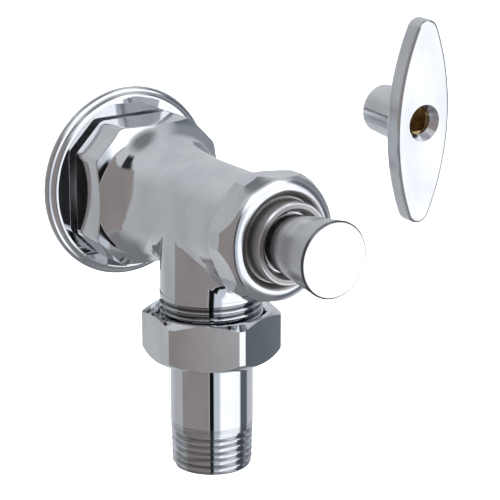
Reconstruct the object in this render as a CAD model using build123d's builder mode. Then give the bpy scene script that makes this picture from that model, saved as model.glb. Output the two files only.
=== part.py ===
from build123d import *
import os
from math import cos, radians, sin, sqrt

# Angle stop valve for a wall outlet, with a loose tee key.
# Frame: the inlet run lies along Y and its axis is the Y axis. The wall face is the plane y = 0 and
# the valve stands out of it towards -Y. The outlet points down, along -Z. All sizes in mm.
# "out" is a distance from the wall face along the run, "down" a distance below the run axis.

# Pipe thread, 1/2 inch size, 14 threads to the inch
inch = 25.4
pipe_r = 21.34 / 2
pipe_pitch = inch / 14
tap_r = 18.26 / 2
pipe_bore_r = 15.8 / 2

# Wall flange
flange_r = 2 * inch / 2
flange_thick = 3.8
flange_back_r = 24.6
flange_wide_out = 1.2
flange_step_r = 24.5
flange_step_out = 2.3
flange_front_r = 22.9
flange_hole_r = 11.2
seam = 0.2

# Valve body, along the run
body_back = flange_thick + seam
relief_r = 17.3
block_back = 5.5
block_half = 18.4
block_corner = 20.5
block_front = 17.2
block_edge_round = 2.5
block_rim_round = 0.4
dish_rim_r = 22.0
dish_rim_out = 14.6
run_r = 13.3
run_flare_r = 14.9
run_flare_out = 24.0
run_start_out = 36.0
run_swell_r = 13.75
run_swell_out = 31.0
run_end_r = 13.0
run_end_out = 62.4
spigot_r = 12.0
spigot_end = 68.6
inlet_depth = 15.0
passage_r = 6.0
seat_pocket_r = 7.6
seat_back = 27.0
seat_hole_r = 5.0
chamber_start = 31.0
chamber_r = 9.6

# Valve body, outlet branch
branch_out = 40.6
branch_r = 13.1
branch_fillet = 7.0
branch_root_out = -35.0
branch_base = 20.2
branch_face = 31.6
thread_crest_r = 13.3
thread_depth = 0.95
branch_turns = 6.5
branch_bore_r = 7.6

# Union nut and tailpiece, measured down from the run axis
nut_top = 25.3
nut_bottom = 38.5
nut_flats = 1.25 * inch
nut_corner = 35.7 / 2
nut_turn = -21.5
nut_chamfer = 34.9
nut_foot_r = 13.6
nut_bore_r = 13.7
nut_lip = 35.6
union_gasket_thick = 1.2
collar_thick = 2.6
collar_r = 13.2
tail_thread_start = 56.9
tail_end = 67.4
tail_foot_r = pipe_r - (tail_end - tail_thread_start) / 32
tail_thread_depth = 1.1
tail_turns = 7.5
tail_cone_start = 54.5
pipe_taper = 1.79
shank_start = 38.7
shank_relief = 0.4
collar_top = branch_face + union_gasket_thick

# Bonnet nut, along the run
bonnet_back = 62.6
bonnet_flats = 31.0
bonnet_turn = 54.8
bonnet_corner = 16.7
bonnet_chamfer_out = 66.2
bonnet_face_out = 70.3
bonnet_face_r = 15.8
bonnet_crest_out = 72.4
bonnet_crest_r = 13.0
cove_out = 70.9
cove_r = 10.9
neck_r = 10.5
neck_out = 75.9
neck_bore_r = 8.2
neck_mouth_r = 8.9
neck_mouth_depth = 0.6
bonnet_bore_r = 12.3

# Cartridge and the pieces inside it
cartridge_r = 9.5
cartridge_start = 48.0
cartridge_gasket = 0.6
cartridge_flange_r = 11.8
cartridge_flange = 1.2
cartridge_seat = spigot_end + cartridge_gasket
body_seal_out = 52.0
body_seal_depth = 1.2
body_seal_width = 1.6
cartridge_nose_r = 8.1
cartridge_nose = 73.6
guide_r = 7.75
guide_flat = 6.9
guide_end = 56.6
collar_chamber_r = 6.5
collar_chamber_end = 60.2
journal_bore_r = 4.56
stuffing_start = 64.0
stuffing_r = 6.6
lift_pitch = 1.5
lift_turns = 3

# Stem, plunger and seat
stem_r = 4.5
screw_r = 3.3
stem_square = 5.5
stem_start = 43.8
stem_collar_r = 6.1
stem_collar = (57.3, 59.5)
square_start = 77.5
stem_end = 87.0
ring_groove_out = 62.0
ring_groove_depth = 1.3
ring_groove_width = 1.5
seat_face = 32.0
closing_gap = 0.05
washer_r = 6.7
washer_thick = 3.0
washer_back = seat_face + closing_gap + washer_thick
washer_screw_r = 1.5
washer_screw_end = washer_back + 2.6
plunger_bore_start = washer_screw_end + 1.2
plunger_head_r = 7.7
plunger_guide_r = 7.45
plunger_guide_flat = 6.6
plunger_shoulder = 39.0
plunger_end = 51.0

# Gland nut and stem cap
gland_start = 69.4
gland_thread_end = 73.2
gland_spigot_r = 5.3
gland_end = 77.0
cap_start = 73.9
cap_base_out = 75.9
cap_base_r = 7.45
cap_end = 92.3
cap_end_r = 9.6
cap_bore_r = 5.7
cap_ring_out = 75.2
cap_ring_wire = 0.5
cap_ring_depth = 0.8
cap_step = 79.5
cap_well_r = 4.9
cap_roof = 88.3

# Loose tee key, parked beside the valve with its hub towards the wall
key_place = (43.8, 23.1)
key_front = 71.3
key_tilt = 2.5
key_length = 52.6
key_width = 16.2
key_thick = 5.5
key_tip_r = 3.4
key_reach = 17.0
key_hub_root_r = 6.9
key_hub_end_r = 6.2
key_hole_r = 4.75
key_front_round = 0.9
key_back_round = 1.4
key_hub_round = 0.8
key_sink = 2.0
key_socket_start = 3.2
key_socket_r = 4.5
key_square = stem_square + 0.25

os.makedirs("parts", exist_ok=True)

# Profile planes: x is the radius, y is "out" on the run and "down" on the branch
run_plane = Plane(origin=(0, 0, 0), x_dir=(1, 0, 0), z_dir=(0, 0, -1))
branch_plane = Plane(origin=(0, -branch_out, 0), x_dir=(1, 0, 0), z_dir=(0, 1, 0))
run_axis = Axis.Y
branch_axis = Axis((0, -branch_out, 0), (0, 0, -1))


def across(out):
    """Sketch plane square to the run, facing out of the wall."""
    return Plane.XZ.offset(out)


def below(down):
    """Sketch plane square to the branch, facing down."""
    return Plane(origin=(0, -branch_out, -down), x_dir=(1, 0, 0), z_dir=(0, 0, -1))


def radius_of(edge):
    """Distance of an edge's middle from the run axis."""
    return sqrt(edge.center().X ** 2 + edge.center().Z ** 2)


def save(part, name):
    part.label = name
    export_step(part, f"parts/{name}.step")


def run_ring(inner_r, outer_r, start, end):
    """Plain ring on the run axis."""
    with BuildPart() as ring:
        with BuildSketch(across(start)):
            Circle(outer_r)
            Circle(inner_r, mode=Mode.SUBTRACT)
        extrude(amount=end - start)
    return ring.part


def o_ring(centre_r, wire_r, out):
    """Round-section seal on the run axis."""
    with BuildPart() as ring:
        with BuildSketch(run_plane):
            with Locations((centre_r, out)):
                Circle(wire_r)
        revolve(axis=run_axis)
    return ring.part


def thread_groove(crest_r, depth, pitch, start, turns, taper=0.0):
    """Helical groove cutter on the branch axis, going down from the thread's start."""
    flat = 0.12 * pitch
    rim = 0.15
    with BuildPart() as cutter:
        with BuildLine(Plane.XY):
            path = Helix(pitch=pitch, height=turns * pitch, radius=crest_r, cone_angle=-taper)
        with BuildSketch(Plane(origin=path @ 0, x_dir=(1, 0, 0), z_dir=(0, 1, 0))):
            with BuildLine():
                Polyline(
                    (rim, pitch / 2 - flat / 4),
                    (-depth, flat),
                    (-depth, -flat),
                    (rim, -pitch / 2 + flat / 4),
                    close=True,
                )
            make_face()
        sweep(path=path, is_frenet=True)
    turned_over = cutter.part.rotate(Axis.X, 180)
    return turned_over.translate((0, -branch_out, -start))


# Wall flange: a plain polished disc with a rounded front edge, stepped out to a bead at the wall
with BuildPart() as wall_flange:
    with BuildSketch(run_plane):
        with BuildLine():
            front_left = Line((flange_hole_r, 0), (flange_hole_r, flange_thick))
            front_face = Line(front_left @ 1, (flange_front_r, flange_thick))
            rim_edge = ThreePointArc(
                front_face @ 1,
                (flange_step_r - 0.65, flange_thick - 0.5),
                (flange_step_r - 0.25, flange_step_out + 0.1),
            )
            bead_step = Line(rim_edge @ 1, (flange_step_r, flange_step_out))
            bead = ThreePointArc(bead_step @ 1, (flange_r, flange_wide_out), (flange_back_r, 0))
            Line(bead @ 1, front_left @ 0)
        make_face()
    revolve(axis=run_axis)
save(wall_flange.part, "wall_flange")

# Valve body, a one-piece casting: wrench block, flared run, threaded spigot and outlet branch.
# The block is a square with its corners cut, dished down to the run in one smooth sweep.
with BuildPart() as valve_body:
    with BuildSketch(run_plane):
        with BuildLine():
            axis_line = Line((0, block_back), (0, run_end_out))
            run_end = Line(axis_line @ 1, (run_end_r, run_end_out))
            run_side = Line(run_end @ 1, (run_r, run_start_out))
            dish = Spline(
                run_side @ 1,
                (run_swell_r, run_swell_out),
                (run_flare_r, run_flare_out),
                (block_half, block_front),
                (dish_rim_r, dish_rim_out),
                tangents=((0, -1), (1, -0.95)),
            )
            corner_side = Line(dish @ 1, (dish_rim_r, block_back))
            Line(corner_side @ 1, axis_line @ 0)
        make_face()
    revolve(axis=run_axis)
    with BuildSketch(across(block_back)):
        Rectangle(2 * block_half, 2 * block_half)
        Rectangle(2 * block_corner, 2 * block_corner, rotation=45, mode=Mode.INTERSECT)
        fillet(vertices(), block_edge_round)
    extrude(amount=run_end_out - block_back, mode=Mode.INTERSECT)
    block_rim = [edge for edge in edges() if edge.bounding_box().size.Y < 4 and radius_of(edge) > 16]
    fillet([edge for edge in block_rim if edge.center().Y < -12], block_rim_round)
    with BuildSketch(below(0)):
        Circle(branch_r)
    extrude(amount=branch_base)
    curved = edges().filter_by(GeomType.BSPLINE)
    branch_root = [edge for edge in curved if edge.bounding_box().min.Y < branch_root_out]
    fillet([edge for edge in branch_root if edge.bounding_box().max.Z < 0], branch_fillet)
    with BuildSketch(below(branch_base)):
        Circle(thread_crest_r)
    extrude(amount=branch_face - branch_base)
    chamfer(edges().sort_by(Axis.Z)[0], 0.8)
    with BuildSketch(across(body_back)):
        Circle(relief_r)
    extrude(amount=block_back - body_back)
    with BuildSketch(across(run_end_out)):
        Circle(spigot_r)
    extrude(amount=spigot_end - run_end_out)
    with BuildSketch(run_plane):
        with BuildLine():
            Polyline(
                (0, body_back),
                (tap_r + 1.3, body_back),
                (tap_r, body_back + 1.3),
                (tap_r, body_back + inlet_depth),
                (passage_r, body_back + inlet_depth + 1.5),
                (passage_r, seat_back),
                (seat_pocket_r, seat_back),
                (seat_pocket_r, chamber_start),
                (chamber_r, chamber_start),
                (chamber_r, spigot_end),
                (0, spigot_end),
                close=True,
            )
        make_face()
    revolve(axis=run_axis, mode=Mode.SUBTRACT)
    with BuildSketch(below(0)):
        Circle(branch_bore_r)
    extrude(amount=branch_face, mode=Mode.SUBTRACT)
    add(
        thread_groove(thread_crest_r, thread_depth, pipe_pitch, branch_base + 1.0, branch_turns),
        mode=Mode.SUBTRACT,
    )
save(valve_body.part, "valve_body")

# Renewable seat, screwed into the pocket, with a raised lip that the washer closes on
with BuildPart() as seat_ring:
    with BuildSketch(run_plane):
        with BuildLine():
            Polyline(
                (seat_hole_r, seat_back),
                (seat_pocket_r - 0.05, seat_back),
                (seat_pocket_r - 0.05, chamber_start - 0.6),
                (seat_hole_r + 1.6, chamber_start - 0.6),
                (seat_hole_r + 0.9, seat_face),
                (seat_hole_r + 0.3, seat_face),
                (seat_hole_r, seat_face - 0.5),
                close=True,
            )
        make_face()
    revolve(axis=run_axis)
save(seat_ring.part, "seat_ring")

# Cartridge: guides the plunger, carries the stem and its packing, and is clamped by the bonnet nut
with BuildPart() as cartridge:
    with BuildSketch(run_plane):
        with BuildLine():
            Polyline(
                (0, cartridge_start),
                (cartridge_r, cartridge_start),
                (cartridge_r, cartridge_seat),
                (cartridge_flange_r, cartridge_seat),
                (cartridge_flange_r, cartridge_seat + cartridge_flange),
                (cartridge_nose_r, cartridge_seat + cartridge_flange),
                (cartridge_nose_r, cartridge_nose - 0.5),
                (cartridge_nose_r - 0.5, cartridge_nose),
                (stuffing_r, cartridge_nose),
                (stuffing_r, stuffing_start),
                (journal_bore_r, stuffing_start),
                (journal_bore_r, collar_chamber_end),
                (collar_chamber_r, collar_chamber_end),
                (collar_chamber_r, guide_end),
                (0, guide_end),
                close=True,
            )
        make_face()
    revolve(axis=run_axis)
    with BuildSketch(across(cartridge_start)):
        Circle(guide_r)
        Rectangle(2 * guide_flat, 2 * guide_r, mode=Mode.INTERSECT)
    extrude(amount=guide_end - cartridge_start, mode=Mode.SUBTRACT)
    with BuildSketch(run_plane):
        with Locations((cartridge_r, body_seal_out)):
            Rectangle(2 * body_seal_depth, body_seal_width)
    revolve(axis=run_axis, mode=Mode.SUBTRACT)
save(cartridge.part, "cartridge")

body_seal = o_ring(cartridge_r - body_seal_depth / 2, body_seal_depth / 2, body_seal_out)
save(body_seal, "cartridge_o_ring")

bonnet_gasket = run_ring(cartridge_r + 0.3, spigot_r - 0.2, spigot_end, cartridge_seat)
save(bonnet_gasket, "bonnet_gasket")

# Bonnet nut: hexagon with cut corners, turned front with a crowned rim, a cove and a short neck
with BuildPart() as bonnet_nut:
    with BuildSketch(across(bonnet_back)):
        RegularPolygon(bonnet_flats / 2, 6, major_radius=False, rotation=bonnet_turn)
        RegularPolygon(bonnet_corner, 6, major_radius=False, rotation=bonnet_turn + 30, mode=Mode.INTERSECT)
    extrude(amount=neck_out - bonnet_back)
    with BuildSketch(run_plane):
        with BuildLine():
            back = Line((0, bonnet_back), (bonnet_flats / 2 - 0.6, bonnet_back))
            back_chamfer = Line(back @ 1, (bonnet_flats / 2 + 2.2, bonnet_back + 2.0))
            side = Line(back_chamfer @ 1, (bonnet_flats / 2 + 2.2, bonnet_chamfer_out))
            shoulder = Line(side @ 1, (bonnet_face_r, bonnet_face_out))
            crown = ThreePointArc(
                shoulder @ 1,
                (bonnet_crest_r + 1.2, bonnet_crest_out - 0.5),
                (bonnet_crest_r - 0.3, bonnet_crest_out),
            )
            crown_fall = ThreePointArc(
                crown @ 1,
                (cove_r + 0.7, bonnet_crest_out - 0.5),
                (cove_r, cove_out),
            )
            cove_floor = Line(crown_fall @ 1, (neck_r, cove_out))
            neck_side = Line(cove_floor @ 1, (neck_r, neck_out - 0.4))
            neck_edge = Line(neck_side @ 1, (neck_r - 0.4, neck_out))
            neck_face = Line(neck_edge @ 1, (0, neck_out))
            Line(neck_face @ 1, back @ 0)
        make_face()
    revolve(axis=run_axis, mode=Mode.INTERSECT)
    with BuildSketch(run_plane):
        with BuildLine():
            Polyline(
                (0, bonnet_back),
                (bonnet_bore_r, bonnet_back),
                (bonnet_bore_r, cartridge_seat + cartridge_flange),
                (neck_bore_r, cartridge_seat + cartridge_flange),
                (neck_bore_r, neck_out - neck_mouth_depth),
                (neck_mouth_r, neck_out),
                (0, neck_out),
                close=True,
            )
        make_face()
    revolve(axis=run_axis, mode=Mode.SUBTRACT)
save(bonnet_nut.part, "bonnet_nut")

# Stem: lifting screw, thrust collar, journal with a seal groove, and the square that the key turns
with BuildPart() as stem:
    with BuildSketch(run_plane):
        with BuildLine():
            Polyline(
                (0, stem_start),
                (screw_r - 0.6, stem_start),
                (screw_r, stem_start + 0.6),
                (screw_r, stem_collar[0]),
                (stem_collar_r, stem_collar[0]),
                (stem_collar_r, stem_collar[1]),
                (stem_r, stem_collar[1]),
                (stem_r, ring_groove_out - ring_groove_width / 2),
                (stem_r - ring_groove_depth, ring_groove_out - ring_groove_width / 2),
                (stem_r - ring_groove_depth, ring_groove_out + ring_groove_width / 2),
                (stem_r, ring_groove_out + ring_groove_width / 2),
                (stem_r, stem_end - 0.8),
                (stem_r - 0.8, stem_end),
                (0, stem_end),
                close=True,
            )
        make_face()
    revolve(axis=run_axis)
    with BuildSketch(across(square_start)):
        Circle(stem_r + 1)
        Rectangle(stem_square, stem_square, mode=Mode.SUBTRACT)
    extrude(amount=stem_end - square_start, mode=Mode.SUBTRACT)
save(stem.part, "stem")

stem_ring_wire = ring_groove_depth / 2
stem_ring = o_ring(stem_r - ring_groove_depth + stem_ring_wire, stem_ring_wire, ring_groove_out)
save(stem_ring, "stem_o_ring")

thrust_washer = run_ring(stem_r + 0.05, stem_collar_r, stem_collar[1], collar_chamber_end)
save(thrust_washer, "thrust_washer")

packing_washer = run_ring(stem_r + 0.06, stuffing_r - 0.05, stuffing_start, stuffing_start + 0.9)
save(packing_washer, "packing_washer")

stem_packing = run_ring(stem_r + 0.05, stuffing_r - 0.05, stuffing_start + 0.9, gland_start)
save(stem_packing, "stem_packing")

# Gland nut: presses on the packing, with a slotted flange and a spigot that carries the stem cap
with BuildPart() as gland_nut:
    with BuildSketch(run_plane):
        with BuildLine():
            Polyline(
                (stem_r + 0.08, gland_start),
                (stuffing_r - 0.05, gland_start),
                (stuffing_r - 0.05, gland_thread_end),
                (gland_spigot_r, gland_thread_end),
                (gland_spigot_r, gland_end - 0.4),
                (gland_spigot_r - 0.4, gland_end),
                (stem_r + 0.08, gland_end),
                close=True,
            )
        make_face()
    revolve(axis=run_axis)
save(gland_nut.part, "gland_nut")

# Plunger: lifted by the screw, kept from turning by its two flats, with a cup for the seat washer
with BuildPart() as plunger:
    with BuildSketch(run_plane):
        with BuildLine():
            Polyline(
                (0, washer_back - 1.2),
                (plunger_head_r - 0.4, washer_back - 1.2),
                (plunger_head_r, washer_back - 0.8),
                (plunger_head_r, plunger_shoulder - 1.0),
                (plunger_guide_r, plunger_shoulder),
                (plunger_guide_r, plunger_end - 0.5),
                (plunger_guide_r - 0.5, plunger_end),
                (0, plunger_end),
                close=True,
            )
        make_face()
    revolve(axis=run_axis)
    with BuildSketch(across(plunger_shoulder)):
        with Locations((plunger_guide_flat + 5, 0), (-plunger_guide_flat - 5, 0)):
            Rectangle(10, 4 * plunger_guide_r)
    extrude(amount=plunger_end - plunger_shoulder, mode=Mode.SUBTRACT)
    with BuildSketch(across(washer_back - 1.2)):
        Circle(washer_r + 0.05)
    extrude(amount=1.2, mode=Mode.SUBTRACT)
    with BuildSketch(across(plunger_bore_start)):
        Circle(screw_r + 0.3)
    extrude(amount=plunger_end - plunger_bore_start, mode=Mode.SUBTRACT)
    with BuildSketch(across(washer_back - 0.1)):
        Circle(washer_screw_r + 0.02)
    extrude(amount=washer_screw_end - washer_back + 0.1, mode=Mode.SUBTRACT)
save(plunger.part, "plunger")

seat_washer = run_ring(washer_screw_r + 0.1, washer_r, seat_face + closing_gap, washer_back)
save(seat_washer, "seat_washer")

# Washer screw: a round slotted head that sits inside the seat's hole when the valve is shut
with BuildPart() as washer_screw:
    with BuildSketch(run_plane):
        with BuildLine():
            Polyline(
                (0, seat_face + closing_gap - 1.6),
                (1.9, seat_face + closing_gap - 1.6),
                (2.9, seat_face + closing_gap - 0.9),
                (2.9, seat_face + closing_gap),
                (washer_screw_r, seat_face + closing_gap),
                (washer_screw_r, washer_screw_end),
                (0, washer_screw_end),
                close=True,
            )
        make_face()
    revolve(axis=run_axis)
    with BuildSketch(across(seat_face + closing_gap - 1.7)):
        Rectangle(0.7, 6)
    extrude(amount=0.9, mode=Mode.SUBTRACT)
save(washer_screw.part, "washer_screw")

# Stem cap: a hollow button that hides the square, flared to a flat end, held by a ring inside
with BuildPart() as stem_cap:
    with BuildSketch(run_plane):
        with BuildLine():
            skirt = Line((cap_bore_r, cap_start), (cap_base_r - 0.15, cap_start))
            skirt_side = Line(skirt @ 1, (cap_base_r, cap_base_out))
            flare = Line(skirt_side @ 1, (cap_end_r, cap_end - 0.35))
            lip = Line(flare @ 1, (cap_end_r - 0.35, cap_end))
            end_face = Line(lip @ 1, (0, cap_end))
            core = Line(end_face @ 1, (0, cap_roof))
            roof = Line(core @ 1, (cap_well_r, cap_roof))
            well = Line(roof @ 1, (cap_well_r, cap_step))
            step = Line(well @ 1, (cap_bore_r, cap_step))
            groove_top = Line(step @ 1, (cap_bore_r, cap_ring_out + cap_ring_wire))
            groove_side = Polyline(
                groove_top @ 1,
                (cap_bore_r + cap_ring_depth, cap_ring_out + cap_ring_wire),
                (cap_bore_r + cap_ring_depth, cap_ring_out - cap_ring_wire),
                (cap_bore_r, cap_ring_out - cap_ring_wire),
            )
            Line(groove_side @ 1, skirt @ 0)
        make_face()
    revolve(axis=run_axis)
save(stem_cap.part, "stem_cap")

cap_ring = o_ring(cap_bore_r + cap_ring_depth - cap_ring_wire, cap_ring_wire, cap_ring_out)
save(cap_ring, "cap_o_ring")

# Union gasket, pinched between the branch face and the tailpiece collar
with BuildPart() as union_gasket:
    with BuildSketch(below(branch_face)):
        Circle(collar_r - 0.6)
        Circle(branch_bore_r + 0.3, mode=Mode.SUBTRACT)
    extrude(amount=union_gasket_thick - 0.02)
save(union_gasket.part, "union_gasket")

# Tailpiece: a collar for the union nut, a plain shank relieved under the nut, and a tapered pipe thread
with BuildPart() as tailpiece:
    with BuildSketch(branch_plane):
        with BuildLine():
            Polyline(
                (pipe_bore_r, collar_top),
                (collar_r, collar_top),
                (collar_r, collar_top + collar_thick - 0.6),
                (collar_r - 0.6, collar_top + collar_thick),
                (pipe_r - shank_relief, collar_top + collar_thick),
                (pipe_r - shank_relief, shank_start),
                (pipe_r, shank_start),
                (pipe_r, tail_cone_start),
                (tail_foot_r, tail_end - 0.9),
                (tail_foot_r - 0.6, tail_end),
                (pipe_bore_r + 0.4, tail_end),
                (pipe_bore_r, tail_end - 0.4),
                close=True,
            )
        make_face()
    revolve(axis=branch_axis)
    add(
        thread_groove(pipe_r, tail_thread_depth, pipe_pitch, tail_thread_start, tail_turns, pipe_taper),
        mode=Mode.SUBTRACT,
    )
save(tailpiece.part, "tailpiece")

# Union nut: hexagon with narrow corner flats, turned at both ends, with a lip under the collar
with BuildPart() as union_nut:
    with BuildSketch(below(nut_top)):
        RegularPolygon(nut_flats / 2, 6, major_radius=False, rotation=nut_turn)
        RegularPolygon(nut_corner, 6, major_radius=False, rotation=nut_turn + 30, mode=Mode.INTERSECT)
    extrude(amount=nut_bottom - nut_top)
    with BuildSketch(branch_plane):
        with BuildLine():
            top = Line((0, nut_top), (nut_flats / 2 - 0.3, nut_top))
            top_chamfer = Line(top @ 1, (nut_corner + 0.5, nut_top + 1.5))
            nut_side = Line(top_chamfer @ 1, (nut_corner + 0.5, nut_chamfer))
            nut_cone = ThreePointArc(
                nut_side @ 1,
                (nut_flats / 2 + 0.3, nut_bottom - 1.35),
                (nut_foot_r, nut_bottom),
            )
            foot = Line(nut_cone @ 1, (0, nut_bottom))
            Line(foot @ 1, top @ 0)
        make_face()
    revolve(axis=branch_axis, mode=Mode.INTERSECT)
    with BuildSketch(branch_plane):
        with BuildLine():
            Polyline(
                (0, nut_top),
                (nut_bore_r + 0.9, nut_top),
                (nut_bore_r, nut_top + 0.9),
                (nut_bore_r, nut_lip),
                (pipe_r + 0.35, nut_lip),
                (pipe_r + 0.35, nut_bottom),
                (0, nut_bottom),
                close=True,
            )
        make_face()
    revolve(axis=branch_axis, mode=Mode.SUBTRACT)
save(union_nut.part, "union_nut")

# Tee key: a lens-shaped grip plate across a tapered hub, with a countersunk hole through its middle
key_face = Plane(
    origin=(key_place[0], -key_front, key_place[1]),
    x_dir=(1, 0, 0),
    z_dir=(0, cos(radians(key_tilt)), sin(radians(key_tilt))),
)
key_axis = Axis(key_face.origin, key_face.z_dir)
tip_centre = key_length / 2 - key_tip_r
side_r = (key_width**2 / 4 + tip_centre**2 - key_tip_r**2) / (key_width - 2 * key_tip_r)
join_x = key_tip_r * (side_r - key_width / 2) / (side_r - key_tip_r)
join_y = tip_centre + key_tip_r * tip_centre / (side_r - key_tip_r)
with BuildPart() as key_handle:
    with BuildSketch(key_face):
        with BuildLine():
            right_side = ThreePointArc((join_x, -join_y), (key_width / 2, 0), (join_x, join_y))
            upper_tip = ThreePointArc(right_side @ 1, (0, key_length / 2), (-join_x, join_y))
            left_side = ThreePointArc(upper_tip @ 1, (-key_width / 2, 0), (-join_x, -join_y))
            ThreePointArc(left_side @ 1, (0, -key_length / 2), right_side @ 0)
        make_face()
    extrude(amount=key_thick)
    fillet(faces().sort_by(key_axis)[0].edges(), key_front_round)
    fillet(faces().sort_by(key_axis)[-1].edges(), key_back_round)
    with BuildSketch(key_face.offset(key_thick - 0.5)):
        Circle(key_hub_root_r)
    with BuildSketch(key_face.offset(key_reach)):
        Circle(key_hub_end_r)
    loft()
    hub_edges = edges().filter_by(GeomType.CIRCLE)
    hub_root = hub_edges.filter_by_position(key_axis, key_thick - 0.1, key_thick + 0.1)
    fillet(hub_root, key_hub_round)
    with BuildSketch(key_face):
        Circle(key_hole_r)
    with BuildSketch(key_face.offset(key_sink)):
        Circle(key_hole_r - 0.7 * key_sink)
    loft(mode=Mode.SUBTRACT)
    with BuildSketch(key_face):
        Circle(key_hole_r - 0.7 * key_sink)
    extrude(amount=key_socket_start, mode=Mode.SUBTRACT)
    with BuildSketch(key_face.offset(key_socket_start)):
        Circle(key_socket_r)
    extrude(amount=key_reach - key_socket_start, mode=Mode.SUBTRACT)
save(key_handle.part, "key_handle")

# Brass socket pressed into the hub, with the square hole that fits the stem
with BuildPart() as key_socket:
    with BuildSketch(key_face.offset(key_socket_start)):
        Circle(key_socket_r - 0.01)
        Rectangle(key_square, key_square, mode=Mode.SUBTRACT)
    extrude(amount=key_reach - key_socket_start - 0.3)
save(key_socket.part, "key_socket")
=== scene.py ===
from math import radians, cos, sin

import bmesh
import bpy
from mathutils import Euler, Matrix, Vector


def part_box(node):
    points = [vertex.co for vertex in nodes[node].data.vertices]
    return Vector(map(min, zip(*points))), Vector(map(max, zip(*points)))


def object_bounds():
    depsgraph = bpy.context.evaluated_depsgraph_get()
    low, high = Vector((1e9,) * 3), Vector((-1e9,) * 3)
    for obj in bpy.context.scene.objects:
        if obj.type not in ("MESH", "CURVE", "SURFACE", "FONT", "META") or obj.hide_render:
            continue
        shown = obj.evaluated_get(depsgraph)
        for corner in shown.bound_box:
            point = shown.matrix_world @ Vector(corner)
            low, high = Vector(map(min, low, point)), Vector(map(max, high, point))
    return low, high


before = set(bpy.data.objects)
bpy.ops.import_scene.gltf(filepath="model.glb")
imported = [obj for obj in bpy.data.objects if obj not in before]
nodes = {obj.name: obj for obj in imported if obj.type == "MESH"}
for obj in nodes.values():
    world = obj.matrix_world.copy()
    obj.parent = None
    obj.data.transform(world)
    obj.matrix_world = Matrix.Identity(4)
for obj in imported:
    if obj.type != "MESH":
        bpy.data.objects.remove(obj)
cad_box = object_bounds()
MM = 0.001

# The camera: a long lens from the front left, a little above the valve
VIEW_TARGET = Vector((19.6, -30.0, -15.8)) * MM
VIEW_AZIMUTH = radians(-35.25)
VIEW_ELEVATION = radians(16.45)
VIEW_DISTANCE = 600 * MM
LENS = 164.1
SENSOR = 36
CLIP_START = 10 * MM

# The studio, as the polished metal sees it: soft-edged panels around the valve, later ones in front.
# Each has the azimuth of its middle (from +X towards +Y), its half width, the elevation of its
# middle, its half height and the softness of its edge, all in degrees, and its colour.
BACKDROP = (0.60, 0.615, 0.64)
PANELS = {
    "floor_gap": (70, 181, -78, 30, 12, (0.22, 0.225, 0.235)),
    "left_wall": (128, 26, -12, 45, 16, (0.46, 0.47, 0.485)),
    "ceiling_gap": (0, 181, 90, 20, 10, (0.22, 0.225, 0.24)),
    "rear_left_gap": (166, 15, 47, 14, 4, (0.03, 0.03, 0.035)),
    "side_wall": (187, 41, -6, 46, 2, (0.30, 0.27, 0.262)),
    "camera_gap": (236, 6.5, -5, 62, 1, (0.008, 0.008, 0.008)),
    "cool_edge": (250, 8.5, -8, 48, 2, (0.62, 0.67, 0.74)),
    "top_softbox": (280, 46, 44, 15, 7, (1.45, 1.47, 1.5)),
    "key_softbox": (291, 32, -8, 36, 4, (1.3, 1.32, 1.36)),
    "dark_flag": (337, 14.5, -10, 48, 4, (0.12, 0.14, 0.165)),
    "right_shade": (8, 24, 18, 26, 10, (0.30, 0.32, 0.35)),
}

# What the camera sees behind the valve, the floor, and the lamp over it
ROOM_LIGHT = 1.0
FLOOR_DROP = 300 * MM
FLOOR_HALF = 6.0
TOP_LIGHT_SIZE = 5.0
TOP_LIGHT_HEIGHT = 2.2
TOP_LIGHT_WATTS = 260

# Places on the part where a finish changes, as radii or as distances from the wall or the run's axis
body_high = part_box("valve_body")[1]
tail_low, tail_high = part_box("tailpiece")
cap_low, cap_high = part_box("stem_cap")
branch_axis = (0.0, (tail_low.y + tail_high.y) / 2)
BLOCK_BACK = -body_high.y + 1.5 * MM
INLET_BORE = 9.4 * MM
INLET_DEPTH = 20 * MM
BRANCH_THREAD_TOP = 20.6 * MM
GROOVE_RADIUS = 12.95 * MM
THREAD_TOP = 54.9 * MM
TAIL_BORE = 8.1 * MM
CAP_FACE = -cap_low.y - 0.2 * MM
CAP_RADIUS = cap_high.x
RIM_WIDTH = 0.45 * MM
BONNET_FACE = 69.9 * MM
BONNET_NECK = 75.6 * MM
COVE_RADIUS = 12.5 * MM
NECK_EDGE = 9.9 * MM
SOFT_STEP = 0.1 * MM

# Colours of the metals
CHROME = (0.80, 0.81, 0.83)
CHROME_DULL = (0.72, 0.735, 0.76)
CHROME_CUT = (0.50, 0.51, 0.53)
SATIN = (0.68, 0.69, 0.70)
SATIN_DULL = (0.62, 0.63, 0.645)
CAST_DARK = (0.40, 0.40, 0.405)
CAST_PALE = (0.90, 0.90, 0.91)
# Painted shade: the dark line round the cap's rim
RIM_PAINTED_SHADE = (0.16, 0.165, 0.18)
# Painted shade in the bonnet's cove
COVE_PAINTED_SHADE = (0.42, 0.405, 0.40)
# Painted shade in the roots of the branch's thread
GROOVE_PAINTED_SHADE = (0.30, 0.31, 0.32)
BRASS = (0.46, 0.33, 0.17)
BRASS_DARK = (0.24, 0.155, 0.075)
FLOOR_WHITE = (0.95, 0.95, 0.95)
FLOOR_SHADE = (0.93, 0.93, 0.93)

# Roughness, from 0 for a mirror to 1 for chalk. A pair is the range over the grain
MIRROR_ROUGH = (0.02, 0.05)
CASTING_BUFF = 0.03
KEY_BUFF = 0.16
BONNET_FRONT_ROUGH = 0.16
COVE_ROUGH = 0.34
CAST_ROUGH = 0.55
INLET_ROUGH = 0.3
THREAD_ROUGH = 0.12
TAIL_BORE_ROUGH = 0.32
SATIN_ROUGH = (0.19, 0.24)
CAP_END_ROUGH = 0.08
BRASS_ROUGH = (0.2, 0.42)
FLOOR_ROUGH = 0.9
SEAL_ROUGH_SPREAD = 0.1

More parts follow.
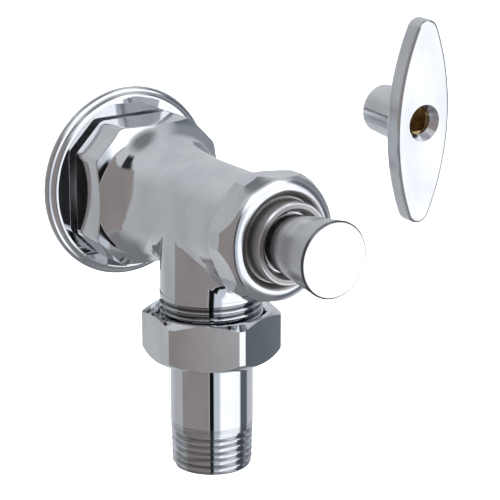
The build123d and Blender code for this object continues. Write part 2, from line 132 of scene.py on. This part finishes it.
# Grain: how many noise cells to the metre, how an axis stretches it, and the range of it that shows
SMEAR_GRAIN = 140
SMEAR_STRETCH = (1, 1, 0.35)
TARNISH_GRAIN = 420
TARNISH_RANGE = (0.4, 0.75)
TURNED_GRAIN = 220
KEY_GRAIN = 160
CAST_GRAIN = 2600
BUFFING_GRAIN = 60
CUT_GRAIN = 900
CUT_STRETCH = (0.15, 0.15, 3)
RING_GRAIN = 3000
BRASS_GRAIN = 2500
FLOOR_GRAIN = 3

# Relief: how deep the grain's bumps are
TURNED_RELIEF = 0.004 * MM
BONNET_RELIEF = 0.003 * MM
KEY_RELIEF = 0.01 * MM
BUFFING_RELIEF = 0.012 * MM
CAST_RELIEF = 0.12 * MM
CUT_RELIEF = 0.008 * MM
BRASS_RELIEF = 0.01 * MM
SEAL_RELIEF = 0.03 * MM

# The soft pieces: two colours, roughness and grain
RUBBER = ((0.03, 0.03, 0.032), (0.015, 0.015, 0.016), 0.6, 900)
FIBRE = ((0.30, 0.07, 0.05), (0.18, 0.04, 0.03), 0.75, 1500)
PTFE = ((0.82, 0.82, 0.80), (0.72, 0.72, 0.70), 0.5, 700)


class Finish:
    """A node material being built: its shader and a few short calls that add nodes."""

    def __init__(self, name, metallic=0.0):
        self.material = bpy.data.materials.new(name)
        self.material.use_nodes = True
        self.tree = self.material.node_tree
        self.tree.nodes.clear()
        self.shader = self.add("ShaderNodeBsdfPrincipled")
        self.shader.inputs["Metallic"].default_value = metallic
        output = self.add("ShaderNodeOutputMaterial")
        self.link(self.shader.outputs["BSDF"], output.inputs["Surface"])
        self.place = self.add("ShaderNodeTexCoord").outputs["Object"]

    def add(self, kind, **settings):
        node = self.tree.nodes.new(kind)
        for name, value in settings.items():
            setattr(node, name, value)
        return node

    def link(self, source, target):
        self.tree.links.new(source, target)

    def math(self, operation, first, second=0.0):
        """A maths node on two values, each an output or a number."""
        node = self.add("ShaderNodeMath", operation=operation)
        for socket, value in zip(node.inputs, (first, second)):
            if isinstance(value, (int, float)):
                socket.default_value = value
            else:
                self.link(value, socket)
        return node.outputs[0]

    def noise(self, scale, detail, stretch=(1, 1, 1), place=None):
        mapping = self.add("ShaderNodeMapping")
        mapping.inputs["Scale"].default_value = stretch
        self.link(place or self.place, mapping.inputs["Vector"])
        node = self.add("ShaderNodeTexNoise")
        node.inputs["Scale"].default_value = scale
        node.inputs["Detail"].default_value = detail
        self.link(mapping.outputs[0], node.inputs["Vector"])
        return node.outputs["Fac"]

    def spread(self, value, low, high, start=0.35, end=0.65):
        """Maps start..end of value to low..high, smoothly."""
        node = self.add("ShaderNodeMapRange", interpolation_type="SMOOTHSTEP")
        self.link(value, node.inputs["Value"])
        for name, number in (("From Min", start), ("From Max", end), ("To Min", low), ("To Max", high)):
            node.inputs[name].default_value = number
        return node.outputs["Result"]

    def blend(self, factor, first, second):
        """Blends two colours, each a colour or an output."""
        node = self.add("ShaderNodeMix", data_type="RGBA")
        self.link(factor, node.inputs["Factor"])
        for index, value in ((6, first), (7, second)):
            if isinstance(value, tuple):
                node.inputs[index].default_value = (*value, 1)
            else:
                self.link(value, node.inputs[index])
        return node.outputs[2]

    def axes(self):
        """The three coordinates of a point on the piece, in metres."""
        node = self.add("ShaderNodeSeparateXYZ")
        self.link(self.place, node.inputs[0])
        return node.outputs

    def bumps(self, heights):
        """Chains bumps: each is a height output and its depth in metres."""
        normal = None
        for height, depth in heights:
            node = self.add("ShaderNodeBump")
            node.inputs["Strength"].default_value = 1.0
            node.inputs["Distance"].default_value = depth
            self.link(height, node.inputs["Height"])
            if normal is not None:
                self.link(normal, node.inputs["Normal"])
            normal = node.outputs[0]
        self.link(normal, self.shader.inputs["Normal"])

    def set(self, name, value):
        """Gives one of the shader's inputs a colour, a number or an output."""
        socket = self.shader.inputs[name]
        if isinstance(value, tuple):
            socket.default_value = (*value, 1)
        elif isinstance(value, (int, float)):
            socket.default_value = value
        else:
            self.link(value, socket)

    def radius_from(self, x, z, centre=(0.0, 0.0)):
        """Distance from an axis, given two coordinate outputs and the axis's place in them."""
        first = self.math("SUBTRACT", x, centre[0])
        second = self.math("SUBTRACT", z, centre[1])
        squares = self.math("ADD", self.math("MULTIPLY", first, first), self.math("MULTIPLY", second, second))
        return self.math("SQRT", squares)


def beyond(finish, value, limit, above=True):
    """1 where value is past limit, 0 before it, with a soft step."""
    low, high = (0, 1) if above else (1, 0)
    return finish.spread(value, low, high, limit - SOFT_STEP, limit + SOFT_STEP)


def polished_chrome(name):
    """Plated and buffed, with faint smears. Gives the finish, its colour and its roughness."""
    finish = Finish(name, metallic=1.0)
    smear = finish.noise(SMEAR_GRAIN, 4, SMEAR_STRETCH)
    colour = finish.blend(finish.spread(smear, 0, 1), CHROME, CHROME_DULL)
    return finish, colour, finish.spread(smear, *MIRROR_ROUGH)


def brass_tone(finish):
    """Bare brass, tarnished in patches."""
    tarnish = finish.noise(TARNISH_GRAIN, 5)
    return finish.blend(finish.spread(tarnish, 0, 1, *TARNISH_RANGE), BRASS, BRASS_DARK)


def mixed(finish, mask, first, second):
    """Blends two roughness values, each an output or a number, by a mask."""
    node = finish.add("ShaderNodeMix", data_type="FLOAT")
    finish.link(mask, node.inputs[0])
    for index, value in ((2, first), (3, second)):
        if isinstance(value, (int, float)):
            node.inputs[index].default_value = value
        else:
            finish.link(value, node.inputs[index])
    return node.outputs[0]


def chrome_turned():
    """Turned or milled pieces: plain bright chrome with a faint waviness."""
    finish, colour, rough = polished_chrome("polished_chrome")
    finish.set("Base Color", colour)
    finish.set("Roughness", rough)
    finish.bumps([(finish.noise(TURNED_GRAIN, 2), TURNED_RELIEF)])
    return finish.material


def chrome_bonnet():
    """The bonnet nut: bright flats, and a turned front that is a little satin, with painted shade in the cove
    between crown and neck.
    """
    finish, colour, rough = polished_chrome("polished_chrome_bonnet")
    x, y, z = finish.axes()
    front = beyond(finish, y, -BONNET_FACE, above=False)
    radius = finish.radius_from(x, z)
    behind_edge = beyond(finish, y, -BONNET_NECK)
    inside_edge = beyond(finish, radius, NECK_EDGE, above=False)
    # The cove between the crown and the neck, where shade is painted into the colour
    cove = finish.math("MULTIPLY", front, beyond(finish, radius, COVE_RADIUS, above=False))
    cove = finish.math("MULTIPLY", cove, finish.math("MAXIMUM", behind_edge, inside_edge))
    finish.set("Base Color", finish.blend(cove, colour, COVE_PAINTED_SHADE))
    rough = mixed(finish, front, rough, BONNET_FRONT_ROUGH)
    finish.set("Roughness", mixed(finish, cove, rough, COVE_ROUGH))
    finish.bumps([(finish.noise(TURNED_GRAIN, 2), BONNET_RELIEF)])
    return finish.material


def chrome_key():
    """The tee key: cast and lightly buffed, so its reflections are soft."""
    finish, colour, rough = polished_chrome("polished_chrome_key")
    finish.set("Base Color", colour)
    finish.set("Roughness", finish.math("ADD", rough, KEY_BUFF))
    finish.bumps([(finish.noise(KEY_GRAIN, 2), KEY_RELIEF)])
    return finish.material


def chrome_casting():
    """The body: buffed outside, painted shade in its thread's grooves, rough cast at its back, bare brass in
    its inlet.
    """
    finish, colour, rough = polished_chrome("polished_chrome_casting")
    rough = finish.math("ADD", rough, CASTING_BUFF)
    x, y, z = finish.axes()
    grain = finish.noise(CAST_GRAIN, 3)
    cast = beyond(finish, y, -BLOCK_BACK)
    cast_colour = finish.blend(finish.spread(grain, 0, 1), CAST_DARK, CAST_PALE)
    bore = finish.math(
        "MULTIPLY",
        beyond(finish, finish.radius_from(x, z), INLET_BORE, above=False),
        beyond(finish, y, -INLET_DEPTH),
    )
    # The roots of the branch's thread, painted darker as shade
    groove = finish.math(
        "MULTIPLY",
        beyond(finish, finish.radius_from(x, y, branch_axis), GROOVE_RADIUS, above=False),
        beyond(finish, z, -BRANCH_THREAD_TOP, above=False),
    )
    colour = finish.blend(groove, colour, GROOVE_PAINTED_SHADE)
    colour = finish.blend(bore, finish.blend(cast, colour, cast_colour), brass_tone(finish))
    rough = mixed(finish, cast, rough, mixed(finish, bore, CAST_ROUGH, INLET_ROUGH))
    finish.set("Base Color", colour)
    finish.set("Roughness", rough)
    finish.bumps([
        (finish.noise(BUFFING_GRAIN, 1), BUFFING_RELIEF),
        (finish.math("MULTIPLY", grain, cast), CAST_RELIEF),
    ])
    return finish.material


def chrome_nipple():
    """The tailpiece: a bright shank, a duller thread cut through the plating, and a bare bore."""
    finish, colour, rough = polished_chrome("chrome_nipple")
    x, y, z = finish.axes()
    thread = beyond(finish, z, -THREAD_TOP, above=False)
    bore = beyond(finish, finish.radius_from(x, y, branch_axis), TAIL_BORE, above=False)
    cut = finish.noise(CUT_GRAIN, 3, CUT_STRETCH)
    cut_colour = finish.blend(finish.spread(cut, 0, 1), CHROME_DULL, CHROME_CUT)
    outside = finish.blend(thread, colour, cut_colour)
    finish.set("Base Color", finish.blend(bore, outside, brass_tone(finish)))
    rough = mixed(finish, thread, rough, THREAD_ROUGH)
    finish.set("Roughness", mixed(finish, bore, rough, TAIL_BORE_ROUGH))
    finish.bumps([(finish.math("MULTIPLY", cut, thread), CUT_RELIEF)])
    return finish.material


def satin_chrome():
    """The cap: turned with a fine tool and plated over, with a bright end and a painted dark shade line round
    its rim.
    """
    finish = Finish("satin_chrome", metallic=1.0)
    x, y, z = finish.axes()
    along = finish.add("ShaderNodeCombineXYZ")
    finish.link(y, along.inputs[0])
    rings = finish.noise(RING_GRAIN, 3, place=along.outputs[0])
    end_face = beyond(finish, y, -CAP_FACE, above=False)
    near_end = beyond(finish, y, -CAP_FACE + RIM_WIDTH, above=False)
    outside = beyond(finish, finish.radius_from(x, z), CAP_RADIUS - RIM_WIDTH)
    # A thin ring at the edge of the end face, painted dark as shade
    rim = finish.math("MULTIPLY", near_end, outside)
    colour = finish.blend(finish.spread(rings, 0, 1), SATIN, SATIN_DULL)
    finish.set("Base Color", finish.blend(rim, finish.blend(end_face, colour, CHROME), RIM_PAINTED_SHADE))
    side_rough = finish.spread(rings, *SATIN_ROUGH)
    finish.set("Roughness", mixed(finish, end_face, side_rough, CAP_END_ROUGH))
    return finish.material


def brass():
    """Machined brass, for the pieces inside the valve and the key's socket."""
    finish = Finish("brass", metallic=1.0)
    finish.set("Base Color", brass_tone(finish))
    finish.set("Roughness", finish.spread(finish.noise(TARNISH_GRAIN, 5), *BRASS_ROUGH))
    finish.bumps([(finish.noise(BRASS_GRAIN, 2), BRASS_RELIEF)])
    return finish.material


def soft_seal(name, light, dark, rough, grain):
    """Rubber, fibre or PTFE: a matte piece with a fine grain."""
    finish = Finish(name)
    speckle = finish.noise(grain, 4)
    finish.set("Base Color", finish.blend(finish.spread(speckle, 0, 1), light, dark))
    low_rough, high_rough = rough - SEAL_ROUGH_SPREAD, rough + SEAL_ROUGH_SPREAD
    finish.set("Roughness", finish.spread(speckle, low_rough, high_rough))
    finish.bumps([(speckle, SEAL_RELIEF)])
    return finish.material


def dress(node, material):
    """Puts one finish on a whole piece."""
    mesh_slots = nodes[node].data.materials
    mesh_slots.clear()
    mesh_slots.append(material)


def make_world():
    """The studio's light: a pale backdrop with panels, and plain white where the camera looks past it."""
    world = bpy.data.worlds.new("studio")
    bpy.context.scene.world = world
    world.use_nodes = True
    tree = world.node_tree
    tree.nodes.clear()

    def maths(operation, *values):
        node = tree.nodes.new("ShaderNodeMath")
        node.operation = operation
        for socket, value in zip(node.inputs, values):
            if isinstance(value, (int, float)):
                socket.default_value = value
            else:
                tree.links.new(value, socket)
        return node.outputs[0]

    def inside(angle, middle, half, soft):
        """1 within half of middle, falling to 0 over soft."""
        turn = maths("SUBTRACT", angle, radians(middle))
        away = maths("ABSOLUTE", maths("WRAP", turn, radians(180), radians(-180)))
        node = tree.nodes.new("ShaderNodeMapRange")
        node.interpolation_type = "SMOOTHSTEP"
        tree.links.new(away, node.inputs["Value"])
        node.inputs["From Min"].default_value = radians(half - soft)
        node.inputs["From Max"].default_value = radians(half + soft)
        node.inputs["To Min"].default_value = 1
        node.inputs["To Max"].default_value = 0
        return node.outputs["Result"]

    place = tree.nodes.new("ShaderNodeTexCoord").outputs["Generated"]
    split = tree.nodes.new("ShaderNodeSeparateXYZ")
    tree.links.new(place, split.inputs[0])
    x, y, z = split.outputs
    azimuth = maths("ARCTAN2", y, x)
    elevation = maths("ARCSINE", z)
    colour = None
    for middle, half, up, half_up, soft, light in PANELS.values():
        sideways = inside(azimuth, middle, half, soft)
        upright = inside(elevation, up, half_up, soft)
        mask = maths("MULTIPLY", sideways, upright)
        node = tree.nodes.new("ShaderNodeMix")
        node.data_type = "RGBA"
        tree.links.new(mask, node.inputs["Factor"])
        if colour is None:
            node.inputs[6].default_value = (*BACKDROP, 1)
        else:
            tree.links.new(colour, node.inputs[6])
        node.inputs[7].default_value = (*light, 1)
        colour = node.outputs[2]
    studio = tree.nodes.new("ShaderNodeBackground")
    tree.links.new(colour, studio.inputs["Color"])
    plain = tree.nodes.new("ShaderNodeBackground")
    plain.inputs["Color"].default_value = (1, 1, 1, 1)
    plain.inputs["Strength"].default_value = ROOM_LIGHT
    choose = tree.nodes.new("ShaderNodeMixShader")
    seen = tree.nodes.new("ShaderNodeLightPath").outputs["Is Camera Ray"]
    tree.links.new(seen, choose.inputs[0])
    tree.links.new(studio.outputs[0], choose.inputs[1])
    tree.links.new(plain.outputs[0], choose.inputs[2])
    output = tree.nodes.new("ShaderNodeOutputWorld")
    tree.links.new(choose.outputs[0], output.inputs["Surface"])


def make_floor():
    """A wide pale floor under the valve, which stays out of the metal's reflections."""
    low = cad_box[0][2] - FLOOR_DROP
    mesh = bpy.data.meshes.new("floor")
    shape = bmesh.new()
    bmesh.ops.create_grid(shape, x_segments=8, y_segments=8, size=FLOOR_HALF)
    bmesh.ops.translate(shape, vec=(0, 0, low), verts=shape.verts)
    shape.to_mesh(mesh)
    shape.free()
    floor = bpy.data.objects.new("floor", mesh)
    bpy.context.scene.collection.objects.link(floor)
    floor.visible_glossy = False
    finish = Finish("floor_white")
    finish.set("Base Color", finish.blend(finish.noise(FLOOR_GRAIN, 2), FLOOR_SHADE, FLOOR_WHITE))
    finish.set("Roughness", FLOOR_ROUGH)
    mesh.materials.append(finish.material)


def make_light():
    """One large soft light overhead for what isn't metal."""
    data = bpy.data.lights.new("overhead", "AREA")
    data.shape = "SQUARE"
    data.size = TOP_LIGHT_SIZE
    data.energy = TOP_LIGHT_WATTS
    light = bpy.data.objects.new("overhead", data)
    light.location = (0, 0, TOP_LIGHT_HEIGHT)
    light.visible_glossy = False
    bpy.context.scene.collection.objects.link(light)


def make_camera():
    """The long lens that the valve is seen through."""
    data = bpy.data.cameras.new("camera")
    data.lens = LENS
    data.sensor_width = SENSOR
    data.clip_start = CLIP_START
    camera = bpy.data.objects.new("camera", data)
    across = cos(VIEW_ELEVATION)
    back = Vector((sin(VIEW_AZIMUTH) * across, -cos(VIEW_AZIMUTH) * across, sin(VIEW_ELEVATION)))
    camera.location = VIEW_TARGET + back * VIEW_DISTANCE
    camera.rotation_euler = Euler((radians(90) - VIEW_ELEVATION, 0, VIEW_AZIMUTH))
    bpy.context.scene.collection.objects.link(camera)
    bpy.context.scene.camera = camera


make_camera()
make_world()
make_floor()
make_light()
bpy.context.scene.view_settings.view_transform = "Standard"

turned = chrome_turned()
brass_finish = brass()
rubber = soft_seal("black_rubber", *RUBBER)
fibre = soft_seal("red_fibre", *FIBRE)
ptfe = soft_seal("white_ptfe", *PTFE)
for name in ("wall_flange", "union_nut", "cartridge", "gland_nut"):
    dress(name, turned)
dress("valve_body", chrome_casting())
dress("tailpiece", chrome_nipple())
dress("bonnet_nut", chrome_bonnet())
dress("key_handle", chrome_key())
dress("stem_cap", satin_chrome())
brass_nodes = "seat_ring stem packing_washer plunger washer_screw key_socket"
for name in brass_nodes.split():
    dress(name, brass_finish)
for name in ("cartridge_o_ring", "stem_o_ring", "seat_washer", "cap_o_ring"):
    dress(name, rubber)
for name in ("bonnet_gasket", "union_gasket"):
    dress(name, fibre)
for name in ("thrust_washer", "stem_packing"):
    dress(name, ptfe)
